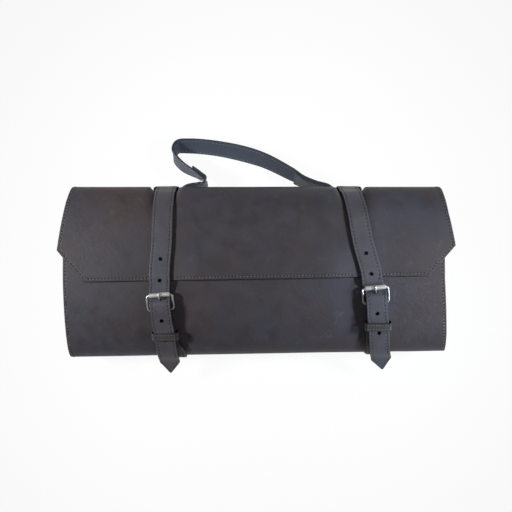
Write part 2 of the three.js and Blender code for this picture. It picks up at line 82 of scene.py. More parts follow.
# Where the wrap's edges run: angle, and left and right as shares of half the roll's width.
wrapSides = np.array([
    (74, 1.038, 1.04), (48, 1.015, 1.013), (24, 0.997, 0.998), (0, 0.986, 0.988), (-90, 0.99, 1.0),
    (-180, 0.999, 1.018), (-220, 1.003, 1.008), (-265, 1.009, 0.986),
])

# The handle between its loops: x, how far beyond the top fold, its lower edge's height, and its lean.
handleRoute = [
    (-88, 1, 6.4, 18), (-71, 6.3, 8, 11), (-65.6, 10.5, 9.9, 9), (-72.7, 17.1, 11, 12),
    (-94.9, 31.1, 6.8, 28), (-104.5, 44.5, 3.3, 34), (-100, 55.2, 1.6, 37), (-85, 56.9, 0.5, 41),
    (-41, 52.3, 0.5, 44), (7.7, 39.4, 1.5, 44), (45.7, 20.2, 3.5, 36), (61, 11.5, 6.4, 22),
    (76, 6.5, 6.1, 16), (92, 1.3, 6.4, 18),
]

flapLift = roll["wall"] + flap["gap"]
sideways = np.array([1.0, 0.0, 0.0])


# Small helpers

def smooth(value, start, end):
    share = np.clip((np.asarray(value, float) - start) / (end - start), 0, 1)
    return share * share * (3 - 2 * share)


def mix(start, end, share):
    return start + (end - start) * share


def unit(vectors):
    vectors = np.asarray(vectors, float)
    return vectors / np.linalg.norm(vectors, axis=-1, keepdims=True)


def dot(first, second):
    return np.sum(np.asarray(first) * np.asarray(second), axis=-1, keepdims=True)


def runLengths(points):
    return np.concatenate([[0], np.cumsum(np.linalg.norm(np.diff(points, axis=0), axis=1))])


def cosSin(degrees):
    turn = math.radians(degrees)
    return math.cos(turn), math.sin(turn)


def ringTurns(sides):
    turns = [2 * math.pi * k / sides for k in range(sides)]
    return [(math.cos(turn), math.sin(turn)) for turn in turns]


def placed(matrix, points):
    return np.array([(matrix @ Vector(point))[:] for point in points])


# The roll's section: an angle of 0 is the top fold, 90 the front, 180 the bottom fold, 270 the back.

def bareSection(side, angle):
    side, angle = np.broadcast_arrays(np.asarray(side, float), np.asarray(angle, float))
    turn = np.radians(angle)
    front = np.sin(turn) >= 0
    power = np.where(front, 1.0, 2 / roll["backRoundness"])
    half = (roll["height"] - roll["taper"] * side / roll["width"]) / 2
    across = np.sign(np.cos(turn)) * np.abs(np.cos(turn)) ** power
    level = np.sign(np.sin(turn)) * np.abs(np.sin(turn)) ** power
    level = level * np.where(front, roll["frontRise"], roll["backDrop"])
    below = -roll["restDrop"] - level
    soft = roll["restSoftness"]
    eased = level + np.clip(below + soft, 0, None) ** 2 / (4 * soft)
    flattened = np.where(below >= soft, -roll["restDrop"], eased)
    level = np.where(front, level, flattened)
    return np.stack([side, roll["height"] / 2 - half + half * across, roll["foldLevel"] + level], -1)


def frontSide(row, angle):
    share = np.clip(np.asarray(angle, float) / 70, 0, 1) ** 1.6
    return mix(row["top"], row["crest"], share)


# How far the belts draw the wrap in beside them.
def cinchAt(side, angle):
    turn = np.mod(np.asarray(angle, float) + 180, 360) - 180
    middle = handle["angle"] / 2
    roundness = 1 - smooth(np.abs(turn - middle), cinch["turn"] / 4, cinch["turn"])
    loopHalf = belt["width"] / 2 + handle["thickness"] + belt["thickness"]
    full = mix(belt["width"] / 2 + 5 * clearance, loopHalf, smooth(-turn, -4, 4))
    reach = mix(full + cinch["steepness"], cinch["reach"], smooth(-turn, 0, 12))
    along = [1 - smooth(np.abs(side - frontSide(row, turn)), full, reach) for row in belts.values()]
    return cinch["depth"] * roundness * np.maximum(*along)


# A point at this place along the roll and angle round it, lifted off the wrap's outer face.
def onRoll(side, angle, lift):
    angle = np.asarray(angle, float)
    tangent = unit(bareSection(side, angle + 0.05) - bareSection(side, angle - 0.05))
    outward = np.stack([0 * tangent[..., 0], tangent[..., 2], -tangent[..., 1]], -1)
    height = np.asarray(lift, float) - cinchAt(np.asarray(side, float), angle)
    return bareSection(side, angle) + outward * np.asarray(height)[..., None]


def flapLiftAt(angle):
    return flapLift * smooth(angle, -flap["turnIn"], flap["innerEnd"] - 6)


def angleAtY(y):
    return math.degrees(math.acos(y / (roll["height"] / 2)))


flapEdgeAngle = angleAtY(-flap["edgeDrop"])
flapTipAngle = angleAtY(flap["chamferHeight"] - flap["edgeDrop"])
innerStop = flap["innerEnd"] - 360


# Routes: a centripetal spline through points, with a hint of the strap's width direction at each.

def splineThrough(rows, perSpan=60):
    rows = np.asarray(rows, float)
    ends = np.vstack([2 * rows[0] - rows[1], rows, 2 * rows[-1] - rows[-2]])
    pieces = []
    for index in range(len(rows) - 1):
        p0, p1, p2, p3 = ends[index:index + 4]
        steps = [np.sum((b - a) ** 2) ** 0.25 for a, b in ((p0, p1), (p1, p2), (p2, p3))]
        middle = steps[1] if steps[1] > 1e-4 else 1.0
        before = steps[0] if steps[0] > 1e-4 else middle
        after = steps[2] if steps[2] > 1e-4 else middle
        first = ((p1 - p0) / before - (p2 - p0) / (before + middle) + (p2 - p1) / middle) * middle
        second = ((p2 - p1) / middle - (p3 - p1) / (middle + after) + (p3 - p2) / after) * middle
        last = index == len(rows) - 2
        share = np.linspace(0, 1, perSpan + last, endpoint=last)[:, None]
        square, cube = share ** 2, share ** 3
        curved = -3 * p1 + 3 * p2 - 2 * first - second
        pieces.append(p1 + first * share + curved * square + (2 * p1 - 2 * p2 + first + second) * cube)
    return np.vstack(pieces)


class Route:
    def __init__(self, rows):
        self.points = splineThrough([row[0] for row in rows])
        self.hints = splineThrough([row[1] for row in rows])
        self.lengths = runLengths(self.points)
        self.total = self.lengths[-1]
        self.tangents = unit(np.gradient(self.points, self.lengths, axis=0))

    def at(self, lengths):
        lengths = np.atleast_1d(np.asarray(lengths, float))
        take = lambda table: np.stack([np.interp(lengths, self.lengths, table[:, k]) for k in range(3)], -1)
        along = unit(take(self.tangents))
        across = take(self.hints)
        across = unit(across - dot(across, along) * along)
        return {"point": take(self.points), "across": across, "outward": np.cross(across, along)}

    def nearest(self, target, low, high):
        lengths = np.arange(low * self.total, high * self.total, 0.2)
        stations = self.at(lengths)
        best = int(np.argmin(np.linalg.norm(stations["point"] - target, axis=1)))
        return lengths[best]


# Buckle frame: the bar's middle, with y towards the roller and z away from the roll.

chapeRadius = buckle["wire"] / 2 + clearance + belt["thickness"] / 2
barLift = chapeRadius + belt["thickness"] / 2 + 2 * clearance
underRoller = -(buckle["roller"] / 2 + 1.6 * clearance + belt["thickness"] / 2)
overBar = chapeRadius + belt["thickness"] + clearance
keeperSeat = keeper["thickness"] + clearance


def barAngle(row):
    return angleAtY(-flap["edgeDrop"] - row["rollerDrop"] - buckle["length"])


def buckleMatrix(row):
    bar = onRoll(row["bar"], barAngle(row), barLift)
    along = unit(onRoll(row["bar"], barAngle(row) - 4, barLift) - bar)
    normal = np.cross(sideways, along)
    matrix = Matrix(np.array([sideways, along, normal]).T.tolist()).to_4x4()
    matrix = Matrix.Translation(Vector(bar)) @ matrix
    turned = matrix @ Matrix.Rotation(math.radians(row["turn"]), 4, "Z")
    return turned @ Matrix.Rotation(math.radians(buckle["lean"]), 4, "X")


def loopSpot(row):
    overHandle = handle["thickness"] + 8 * clearance + belt["thickness"] / 2
    place = lambda angle: onRoll(row["top"], angle, flapLiftAt(angle) + overHandle)
    up = unit(place(handle["angle"] + 10) - place(handle["angle"] - 10))
    return {"centre": place(handle["angle"]), "up": up, "outward": np.cross(sideways, up)}


def keeperAngle(row):
    return barAngle(row) + row["keeperDrop"] * keeper["perMillimetre"]


# From the belt's point over the buckle, up the front, down the back and round the buckle's bar.
def beltRoute(row):
    matrix = buckleMatrix(row)
    middle = belt["thickness"] / 2
    atKeeper = keeperAngle(row)
    onChape = keeperSeat + 2 * keeper["play"] + belt["thickness"]
    overFlap = flapLift + belt["rise"]
    spot = loopSpot(row)
    barways = placed(matrix.to_3x3(), [(1, 0, 0)])[0]

    def rolled(angle, side, lift):
        hint = unit(bareSection(side + 1, angle) - bareSection(side - 1, angle))
        return onRoll(side, angle, lift + middle), hint

    def local(y, z, x=0):
        return placed(matrix, [(x, y, z)])[0], barways

    def between(start, end, share):
        return mix(row[start], row[end], share)

    length = buckle["length"]
    freeEnd = [
        rolled(185, row["tip"], 22.3),
        rolled(175, row["corner"], 6),
        rolled(162, between("corner", "keeper", 0.35), belt["thickness"] + 2.4),
        rolled(148, between("corner", "keeper", 0.65), onChape - 0.2),
        rolled(atKeeper, row["keeper"], onChape + clearance),
        local(-16, overBar - 0.6),
        local(-8, overBar - 0.1),
        local(0, overBar),
        local(0.28 * length, overBar - 0.5),
        local(0.512 * length, mix(underRoller, overBar, 0.842)),
        local(0.716 * length, mix(underRoller, overBar, 0.348)),
        local(length - 2.6, underRoller + 0.5),
        local(length, underRoller + 0.1, row["aside"]),
        local(length + 3.2, underRoller + 0.2, 2 * row["aside"]),
    ]
    front = [
        rolled(flapEdgeAngle + 2, between("bar", "flap", 0.8), overFlap - 0.5),
        rolled(flapEdgeAngle - 4, row["flap"], overFlap),
        rolled(70, row["crest"], overFlap),
        rolled(45, frontSide(row, 45), overFlap),
        rolled(22, frontSide(row, 22), flapLiftAt(22) + belt["rise"]),
        rolled(7, row["top"], flapLiftAt(7) + 4 * clearance),
    ]
    overHandle = [
        (spot["centre"] + spot["up"] * share * handle["width"], sideways)
        for share in (0.52, 0.28, 0, -0.28, -0.55, -0.7)
    ]
    back = []
    for angle in range(-62, -205, -6):
        share = min(1, (angle + 44) / -130)
        lift = mix(belt["backGap"], 1.5, smooth(angle, -80, -56))
        back.append(rolled(angle, between("top", "bottom", share), lift))
    chape = [
        rolled(-213, between("bottom", "bar", 0.46), keeperSeat + 0.5),
        rolled(atKeeper - 360, between("bottom", "bar", 0.66), keeperSeat + keeper["play"] + 2 * clearance),
        local(-9, chapeRadius - 0.3),
        local(-4, chapeRadius),
    ]
    for angle in (90, 45, 0, -45, -90):
        forward, upward = cosSin(angle)
        chape.append(local(chapeRadius * forward, chapeRadius * upward))
    endAngle = barAngle(row) - 360
    for further, share in ((3.4, 0.9), (buckle["turnedEnd"] * 0.58, 0.8)):
        chape.append(rolled(endAngle + further, between("bottom", "bar", share), 1.5 * clearance))
    return Route(freeEnd + front + overHandle + back + chape), matrix


# The handle's end round a belt: over it, round its outer edge and back under it.
def handleLoop(row, direction):
    spot = loopSpot(row)
    half = belt["width"] / 2 + 2 * clearance
    away = belt["thickness"] / 2 + 2.2 * clearance + handle["thickness"] / 2

    def place(across, outward):
        point = spot["centre"] + sideways * across * direction + spot["outward"] * outward
        return point, spot["up"]

    bend = []
    for angle in (60, 20, -20, -60):
        cosine, sine = cosSin(angle)
        bend.append(place(half + away * cosine * 0.9, away * sine))
    outer = [place(-half - 1, away + 1.1), place(0, away + 0.6), place(half - 1, away + 0.1)]
    inner = [place(half - 1, -away), place(0, -away - 0.1), place(-half - 1, -away + 0.1)]
    return outer, bend, inner


def handleRoutes():
    leftOuter, leftBend, leftInner = handleLoop(belts["left"], -1)
    rightOuter, rightBend, rightInner = handleLoop(belts["right"], 1)
    middle = []
    for x, beyond, above, lean in handleRoute:
        upright, slope = cosSin(lean)
        height = above + (handle["width"] * upright + handle["thickness"] * slope) / 2
        point = np.array([x, roll["height"] / 2 + beyond, height], float)
        middle.append((point, np.array([0, slope, upright])))
    mainRows = leftOuter[::-1] + middle + rightOuter
    main = Route(mainRows)
    loopLength = belt["width"] + 2

    def tailOf(backwards):
        rows = []
        for fromLoop in (8, 14, 20, 25, 31, 37, 43, 49, 54, handle["tail"]):
            length = loopLength + fromLoop
            station = main.at(main.total - length if backwards else length)
            gap = mix(
                belt["thickness"] + 3 * clearance + handle["thickness"],
                handle["thickness"] + 1.3 * clearance,
                smooth(fromLoop, 0, 12),
            )
            rows.append((station["point"][0] - station["outward"][0] * gap, station["across"][0]))
        return rows

    leftEnd = leftBend + leftInner + tailOf(False)
    rightEnd = rightBend + rightInner + tailOf(True)
    return Route(leftEnd[::-1] + mainRows + rightEnd), main, loopLength


# Mesh makers

def addObject(name, data):
    thing = bpy.data.objects.new(name, data)
    bpy.context.scene.collection.objects.link(thing)
    return thing


def addMesh(name, points, faces):
    mesh = bpy.data.meshes.new(name)
    inFrame = (np.asarray(points, float) + shift) * 0.001
    mesh.from_pydata(inFrame.tolist(), [], [list(map(int, face)) for face in faces])
    return addObject(name, mesh)


def newObject(name, points, faces, material, node=None):
    piece = addMesh(name, points, faces)
    piece.data.materials.append(material)
    piece.data.shade_smooth()
    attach(piece, "root")
    if node:
        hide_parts(node)
    return piece


# Distances from a cut edge at which a leather sheet has a row of points, in millimetres.
edgeSteps = [0, 0.05, 0.16, 0.34, 0.6, 0.95, 1.5, 2.3, 2.9, 3.3, 3.7, 4.3, 5.4, 7.5]
edgeRounding = {"reach": 0.95, "roundness": 2.6}
stitchInset = 3.3
seamGroove = {"depth": 0.22, "width": 0.5}


# The share of the full thickness at a distance from a cut edge.
def edgeShare(distance):
    share = np.clip(np.asarray(distance, float) / edgeRounding["reach"], 0, 1)
    return (1 - (1 - share) ** edgeRounding["roundness"]) ** (1 / edgeRounding["roundness"])


def sheetFaces(rows, columns, closed):
    faces = []
    border = lambda r, c: c in (0, columns - 1) or (r in (0, rows - 1) and not closed)
    outer = lambda r, c: r * columns + c
    inner = lambda r, c: outer(r, c) + (0 if border(r, c) else rows * columns)
    for r in range(rows if closed else rows - 1):
        n = (r + 1) % rows
        for c in range(columns - 1):
            faces.append((outer(r, c), outer(r, c + 1), outer(n, c + 1), outer(n, c)))
            faces.append((inner(n, c), inner(n, c + 1), inner(r, c + 1), inner(r, c)))
    return np.array(faces)


# A leather wall from two grids of points that share their border; a closed one runs round like a keeper.
def twoSided(name, outer, inner, distance, material, node, closed=False):
    rows, columns = outer.shape[:2]
    points = np.vstack([outer.reshape(-1, 3), inner.reshape(-1, 3)])
    faces = sheetFaces(rows, columns, closed)
    if closed:
        faces = faces[:, [0, 3, 2, 1]]
    used = np.zeros(len(points), bool)
    used[faces.ravel()] = True
    renumber = np.cumsum(used) - 1
    piece = newObject(name, points[used], renumber[faces], material, node)
    masks = {"edgeDistance": np.tile(distance.ravel(), 2), "fleshSide": np.repeat([0, 1], rows * columns)}
    for label, values in masks.items():
        mask = piece.data.attributes.new(label, "FLOAT", "POINT")
        mask.data.foreach_set("value", np.asarray(values[used], np.float32))
    return piece


def leatherSheet(name, middle, normals, columnDistance, rowDistance, thickness, material, node):
    half = edgeShare(columnDistance) * edgeShare(rowDistance) * thickness / 2
    distance = np.minimum(columnDistance, rowDistance)
    groove = seamGroove["depth"] * np.exp(-((distance - stitchInset) / seamGroove["width"]) ** 2)
    outer = middle + normals * (half - groove)[..., None]
    inner = middle - normals * half[..., None]
    return twoSided(name, outer, inner, distance, material, node)


def ringFaces(rings, sides, closed=False, start=0):
    faces = []
    for r in range(rings if closed else rings - 1):
        here, ahead = start + r * sides, start + (r + 1) % rings * sides
        for k in range(sides):
            after = (k + 1) % sides
            faces.append((here + k, here + after, ahead + after, ahead + k))
    if not closed:
        faces.append(tuple(start + k for k in range(sides))[::-1])
        faces.append(tuple(start + (rings - 1) * sides + k for k in range(sides)))
    return faces


def tube(path, radii, side, sides=16, closed=False, flatten=1.0):
    path = np.asarray(path, float)
    if closed:
        along = unit(np.roll(path, -1, axis=0) - np.roll(path, 1, axis=0))
    else:
        along = unit(np.gradient(path, axis=0))
    first = unit(np.broadcast_to(side, path.shape) - dot(side, along) * along)
    second = np.cross(along, first) * flatten
    radii = np.broadcast_to(np.asarray(radii, float), (len(path),))
    points = []
    for row in range(len(path)):
        for cosine, sine in ringTurns(sides):
            points.append(path[row] + (first[row] * cosine + second[row] * sine) * radii[row])
    return points, ringFaces(len(path), sides, closed)


def roundedLoop(halfWidth, halfHeight, radius, perCorner, count):
    x, y = halfWidth - radius, halfHeight - radius
    outline = []
    for cornerX, cornerY, start in ((x, -y, -90), (x, y, 0), (-x, y, 90), (-x, -y, 180)):
        for angle in np.linspace(start, start + 90, perCorner):
            cosine, sine = cosSin(angle)
            outline.append((cornerX + radius * cosine, cornerY + radius * sine))
    outline = np.array(outline + outline[:1])
    lengths = runLengths(outline)
    places = np.linspace(0, lengths[-1], count + 1)[:-1]
    return np.stack([np.interp(places, lengths, outline[:, k]) for k in (0, 1)], -1)


# The thread of a stitch from hole to hole: shares of its length, of its radius, and its rise in radii.
threadSteps = [
    (-0.5, 0.35, -0.55), (-0.42, 0.8, -0.1), (-0.2, 1.0, 0.22),
    (0.2, 1.0, 0.22), (0.42, 0.8, -0.1), (0.5, 0.35, -0.55),
]
threadShape = {"sides": 6, "flatness": 0.8}
# Each needle hole is drawn as a flat disc of painted shade, not a cut: its reach along and across the seam,
# its sides and its lift off the leather.
needle = {"along": 0.85, "across": 0.66, "sides": 7, "lift": 0.05}
seams = {
    "wrap": {"pitch": 4.1, "length": 0.6, "radius": 0.4, "slant": 0.16, "hole": 1.0},
    "belt": {"pitch": 4.6, "length": 0.55, "radius": 0.34, "slant": 0.1, "hole": 1.0},
    "keeper": {"pitch": 3.5, "length": 0.52, "radius": 0.36, "slant": 0.12, "hole": 1.0},
    "handle": {"pitch": 4.4, "length": 0.66, "radius": 0.34, "slant": 0.1, "hole": 0.6},
}


def stitches(name, lines, seam, material):
    points, faces, kinds = [], [], []
    radius, sides = seam["radius"], threadShape["sides"]
    for linePoints, lineNormals in lines:
        lengths = runLengths(linePoints)
        count = max(1, int(round(lengths[-1] / seam["pitch"])))
        spacing = lengths[-1] / count
        size = seam["length"] * spacing
        take = lambda table, at: np.array([np.interp(at, lengths, table[:, k]) for k in range(3)])
        for index in range(count):
            at = (index + 0.5) * spacing
            centre = take(linePoints, at)
            normal = unit(take(lineNormals, at))
            along = take(linePoints, at + 0.3 * spacing) - take(linePoints, at - 0.3 * spacing)
            along = unit(along - dot(along, normal) * normal)
            along = unit(along + np.cross(normal, along) * seam["slant"])
            across = np.cross(normal, along)
            thread = ringFaces(len(threadSteps), sides, start=len(points))
            for share, thick, rise in threadSteps:
                middle = centre + along * share * size + normal * rise * radius
                for cosine, sine in ringTurns(sides):
                    ring = across * cosine + normal * sine * threadShape["flatness"]
                    points.append(middle + ring * radius * thick)
            # Painted shade: a near-black disc laid just over the leather at each needle hole stands in for
            # the shade inside the hole.
            hole = centre + along * spacing * 0.5 + normal * needle["lift"]
            rim = tuple(len(points) + k for k in range(needle["sides"]))
            for cosine, sine in ringTurns(needle["sides"]):
                reach = along * cosine * needle["along"] + across * sine * needle["across"]
                points.append(hole + reach * seam["hole"])
            faces += thread + [rim[::-1]]
            kinds += [0] * len(thread) + [1]
    piece = newObject(name, points, faces, material)
    piece.data.materials.append(paintedHoleShade)
    piece.data.polygons.foreach_set("material_index", kinds)
    return piece


def cylinder(centre, axis, radius, length, sides=20):
    axis = unit(axis)
    first = unit(np.cross(axis, [0.0, 0.3, 1.0]))
    second = np.cross(axis, first)
    points = []
    for end in (-0.5, 0.5):
        for cosine, sine in ringTurns(sides):
            points.append(centre + axis * end * length + (first * cosine + second * sine) * radius)
    return points, ringFaces(2, sides)


def cut(piece, shapes):
    points, faces = [], []
    for shapePoints, shapeFaces in shapes:
        start = len(points)
        points += list(shapePoints)
        faces += [tuple(start + k for k in face) for face in shapeFaces]
    cutter = addMesh("cutter", points, faces)
    change = piece.modifiers.new("cut", "BOOLEAN")
    change.operation = "DIFFERENCE"
    change.solver = "EXACT"
    change.object = cutter
    view = bpy.context.evaluated_depsgraph_get()
    mesh = bpy.data.meshes.new_from_object(piece.evaluated_get(view), depsgraph=view)
    piece.modifiers.clear()
    old = piece.data
    piece.data = mesh
    mesh.name = old.name
    bpy.data.meshes.remove(old)
    bpy.data.objects.remove(cutter)
    mesh.shade_smooth()
    mesh.set_sharp_from_angle(angle=math.radians(40))


# Materials

def setInputs(node, values):
    for socket, value in values.items():
        node.inputs[socket].default_value = value


def addNode(tree, kind, inputs=None, **settings):
    node = tree.nodes.new(kind)
    for name, value in settings.items():
        setattr(node, name, value)
    setInputs(node, inputs or {})
    return node


def feed(tree, socket, value):
    if isinstance(value, (int, float, tuple)):
        socket.default_value = value
    else:
        tree.links.new(value, socket)


def objectSpot(tree):
    return addNode(tree, "ShaderNodeTexCoord").outputs["Object"]


def noise(tree, vector, scale, detail=4.0, roughness=0.55, distortion=0.0):
    node = addNode(tree, "ShaderNodeTexNoise", {
        "Scale": scale, "Detail": detail, "Roughness": roughness, "Distortion": distortion,
    })
    feed(tree, node.inputs["Vector"], vector)
    return node.outputs["Fac"]


def ranged(tree, value, low, high, newLow=0.0, newHigh=1.0, kind="SMOOTHSTEP"):
    node = addNode(tree, "ShaderNodeMapRange", {
        "From Min": low, "From Max": high, "To Min": newLow, "To Max": newHigh,
    }, interpolation_type=kind)
    feed(tree, node.inputs["Value"], value)
    return node.outputs["Result"]


def maths(tree, operation, first, second):
    node = addNode(tree, "ShaderNodeMath", operation=operation)
    feed(tree, node.inputs[0], first)
    feed(tree, node.inputs[1], second)
    return node.outputs[0]


def blended(tree, share, first, second, kind="MIX"):
    node = addNode(tree, "ShaderNodeMix", data_type="RGBA", blend_type=kind)
    for socket, value in ((0, share), (6, first), (7, second)):
        feed(tree, node.inputs[socket], value)
    return node.outputs[2]


leatherTones = ("Base", "Brown", "Cool", "Rubbed", "Cut Edge", "Flesh")


def makeLeatherGroup():
    tree = bpy.data.node_groups.new("oiled leather", "ShaderNodeTree")
    sockets = [(tone, "INPUT", "Color") for tone in leatherTones] + [
        ("Offset", "INPUT", "Vector"), ("Roughness", "INPUT", "Float"),
        ("Color", "OUTPUT", "Color"), ("Roughness", "OUTPUT", "Float"), ("Height", "OUTPUT", "Float"),
    ]
    for label, side, kind in sockets:
        tree.interface.new_socket(label, in_out=side, socket_type="NodeSocket" + kind)
    given, out = tree.nodes.new("NodeGroupInput"), tree.nodes.new("NodeGroupOutput")
    moved = addNode(tree, "ShaderNodeVectorMath", operation="ADD")
    feed(tree, moved.inputs[0], objectSpot(tree))
    feed(tree, moved.inputs[1], given.outputs["Offset"])
    spot = moved.outputs[0]
    clouds = noise(tree, spot, 9.0, 5.0, 0.55, 0.6)
    broad = noise(tree, spot, 5.0, 3.0, 0.5, 0.4)
    mottle = noise(tree, spot, 55.0, 5.0, 0.6, 0.5)
    scuff = noise(tree, spot, 75.0, 6.0, 0.62, 0.7)
    speck = noise(tree, spot, 1500.0, 2.0, 0.6)
    colour = blended(tree, ranged(tree, clouds, 0.36, 0.72), given.outputs["Base"], given.outputs["Cool"])
    colour = blended(tree, ranged(tree, broad, 0.4, 0.72), colour, given.outputs["Brown"])
    shade = ranged(tree, mottle, 0.3, 0.7, 0.88, 1.12, "LINEAR")
    colour = blended(tree, 1.0, colour, shade, "MULTIPLY")
    rubbed = maths(tree, "MULTIPLY", ranged(tree, scuff, 0.56, 0.8), ranged(tree, clouds, 0.42, 0.62))
    colour = blended(tree, maths(tree, "MULTIPLY", rubbed, 0.4), colour, given.outputs["Rubbed"])
    edge = addNode(tree, "ShaderNodeAttribute", attribute_name="edgeDistance")
    flesh = addNode(tree, "ShaderNodeAttribute", attribute_name="fleshSide")
    colour = blended(tree, flesh.outputs["Fac"], colour, given.outputs["Flesh"])
    burnished = ranged(tree, edge.outputs["Fac"], 0.75, 0.2)
    colour = blended(tree, burnished, colour, given.outputs["Cut Edge"])
    feed(tree, out.inputs["Color"], colour)
    rough = maths(tree, "ADD", given.outputs["Roughness"], ranged(tree, mottle, 0.3, 0.7, -0.07, 0.09))
    rough = maths(tree, "ADD", rough, maths(tree, "MULTIPLY", flesh.outputs["Fac"], 0.3))
    rough = maths(tree, "SUBTRACT", rough, maths(tree, "MULTIPLY", burnished, 0.12))
    feed(tree, out.inputs["Roughness"], rough)
    cells = addNode(tree, "ShaderNodeTexVoronoi", {"Scale": 900.0, "Randomness": 1.0}, feature="F1")
    feed(tree, cells.inputs["Vector"], spot)
    grain = maths(tree, "ADD", cells.outputs["Distance"], maths(tree, "MULTIPLY", speck, 0.5))
    creases = noise(tree, spot, 120.0, 4.0, 0.6, 2.0)
    height = maths(tree, "ADD", maths(tree, "MULTIPLY", grain, 0.35), maths(tree, "MULTIPLY", creases, 1.6))
    feed(tree, out.inputs["Height"], height)
    return tree


leatherGroup = makeLeatherGroup()


def newMaterial(name, values):
    material = bpy.data.materials.new(name)
    material.use_nodes = True
    shader = material.node_tree.nodes["Principled BSDF"]
    setInputs(shader, values)
    return material, material.node_tree, shader


def addBump(tree, shader, height, strength, distance):
    bump = addNode(tree, "ShaderNodeBump", {"Strength": strength, "Distance": distance})
    feed(tree, bump.inputs["Height"], height)
    feed(tree, shader.inputs["Normal"], bump.outputs["Normal"])


def leatherMaterial(name, look):
    material, tree, shader = newMaterial(name, {"Specular IOR Level": 0.42})
    group = addNode(tree, "ShaderNodeGroup", node_tree=leatherGroup)
    setInputs(group, {tone: (*look[tone], 1) for tone in leatherTones})
    setInputs(group, {"Offset": look["offset"], "Roughness": look["roughness"]})
    addBump(tree, shader, group.outputs["Height"], look["bump"], 0.00035)
    feed(tree, shader.inputs["Base Color"], group.outputs["Color"])
    feed(tree, shader.inputs["Roughness"], group.outputs["Roughness"])
    return material


leatherLook = {
    "dark oiled leather": {
        "Base": (0.046, 0.0395, 0.044), "Brown": (0.054, 0.039, 0.038), "Cool": (0.044, 0.046, 0.064),
        "Rubbed": (0.12, 0.113, 0.118), "Cut Edge": (0.016, 0.0135, 0.0145), "Flesh": (0.034, 0.029, 0.029),
        "offset": (0.0, 0.0, 0.0), "roughness": 0.56, "bump": 0.5,
    },
    "belt leather": {
        "Base": (0.072, 0.066, 0.076), "Brown": (0.076, 0.063, 0.064), "Cool": (0.069, 0.072, 0.094),
        "Rubbed": (0.14, 0.135, 0.14), "Cut Edge": (0.017, 0.0145, 0.0155), "Flesh": (0.04, 0.035, 0.035),
        "offset": (0.7, 0.3, 0.1), "roughness": 0.52, "bump": 0.5,
    },
    "keeper leather": {
        "Base": (0.047, 0.042, 0.043), "Brown": (0.052, 0.043, 0.041), "Cool": (0.05, 0.052, 0.064),
        "Rubbed": (0.15, 0.14, 0.138), "Cut Edge": (0.016, 0.0135, 0.0135), "Flesh": (0.036, 0.031, 0.03),
        "offset": (1.7, 0.9, 0.4), "roughness": 0.55, "bump": 0.6,
    },
    "handle leather": {
        "Base": (0.043, 0.052, 0.074), "Brown": (0.042, 0.045, 0.058), "Cool": (0.052, 0.066, 0.096),
        "Rubbed": (0.14, 0.16, 0.2), "Cut Edge": (0.024, 0.028, 0.044), "Flesh": (0.045, 0.054, 0.074),
        "offset": (2.1, 1.2, 0.8), "roughness": 0.5, "bump": 0.5,
    },
}

wrapLeather, beltLeather, keeperLeather, handleLeather = [
    leatherMaterial(name, look) for name, look in leatherLook.items()
]


def threadMaterial(name, colour, shade):
    material, tree, shader = newMaterial(name, {"Roughness": 0.72})
    spot = objectSpot(tree)
    fibres = noise(tree, spot, 2600.0, 3.0, 0.6, 1.5)
    dirt = noise(tree, spot, 45.0, 3.0, 0.6)
    mixed = blended(tree, ranged(tree, dirt, 0.35, 0.7), (*colour, 1), (*shade, 1))
    mixed = blended(tree, ranged(tree, fibres, 0.35, 0.7, 0.0, 0.35), mixed, (*shade, 1))
    feed(tree, shader.inputs["Base Color"], mixed)
    addBump(tree, shader, fibres, 0.6, 0.00015)
    return material


# Painted shade for the needle-hole discs: near-black, with a little random variation in its darkness.
def paintedHoleShadeMaterial():
    material, tree, shader = newMaterial("needle hole shade", {"Roughness": 0.95})
    shadeNoise = noise(tree, objectSpot(tree), 900.0, 2.0)
    shade = blended(tree, shadeNoise, (0.008, 0.007, 0.008, 1), (0.02, 0.018, 0.019, 1))
    feed(tree, shader.inputs["Base Color"], shade)
    return material


greyThread = threadMaterial("grey thread", (0.24, 0.222, 0.22), (0.12, 0.11, 0.108))
darkThread = threadMaterial("dark thread", (0.085, 0.08, 0.084), (0.05, 0.046, 0.05))
blueThread = threadMaterial("blue grey thread", (0.17, 0.19, 0.24), (0.1, 0.115, 0.15))
paintedHoleShade = paintedHoleShadeMaterial()


def nickelMaterial(name, look):
    material, tree, shader = newMaterial(name, {"Metallic": look["metallic"]})
    spot = objectSpot(tree)
    smudge = noise(tree, spot, 160.0, 5.0, 0.6, 0.6)
    fine = noise(tree, spot, 2400.0, 3.0, 0.6)
    mixed = blended(tree, ranged(tree, smudge, 0.35, 0.75), (*look["bright"], 1), (*look["worn"], 1))
    feed(tree, shader.inputs["Base Color"], mixed)
    roughness = ranged(tree, smudge, 0.3, 0.75, look["smooth"], look["rough"])
    feed(tree, shader.inputs["Roughness"], roughness)
    addBump(tree, shader, fine, 0.15, 0.0001)
    return material


nickelLook = {
    "frame": {
        "bright": (0.8, 0.79, 0.77), "worn": (0.62, 0.61, 0.59),
        "smooth": 0.26, "rough": 0.4, "metallic": 0.9,
    },
    "roller": {
        "bright": (0.88, 0.87, 0.85), "worn": (0.74, 0.73, 0.71),
        "smooth": 0.28, "rough": 0.42, "metallic": 0.58,
    },
}
frameNickel = nickelMaterial("nickel wire", nickelLook["frame"])
rollerNickel = nickelMaterial("nickel roller", nickelLook["roller"])
print("materials made")


# Wrap

wrapMesh = {"rowPitch": 2.6, "columnPitch": 4.0, "wave": 0.55, "beltCalm": 24}


def spacedSteps(total, pitch):
    first = np.array(edgeSteps)
    last = total - first[::-1]
    count = max(2, int(round((last[0] - first[-1]) / pitch)))
    return np.concatenate([first, np.linspace(first[-1], last[0], count + 1)[1:-1], last])


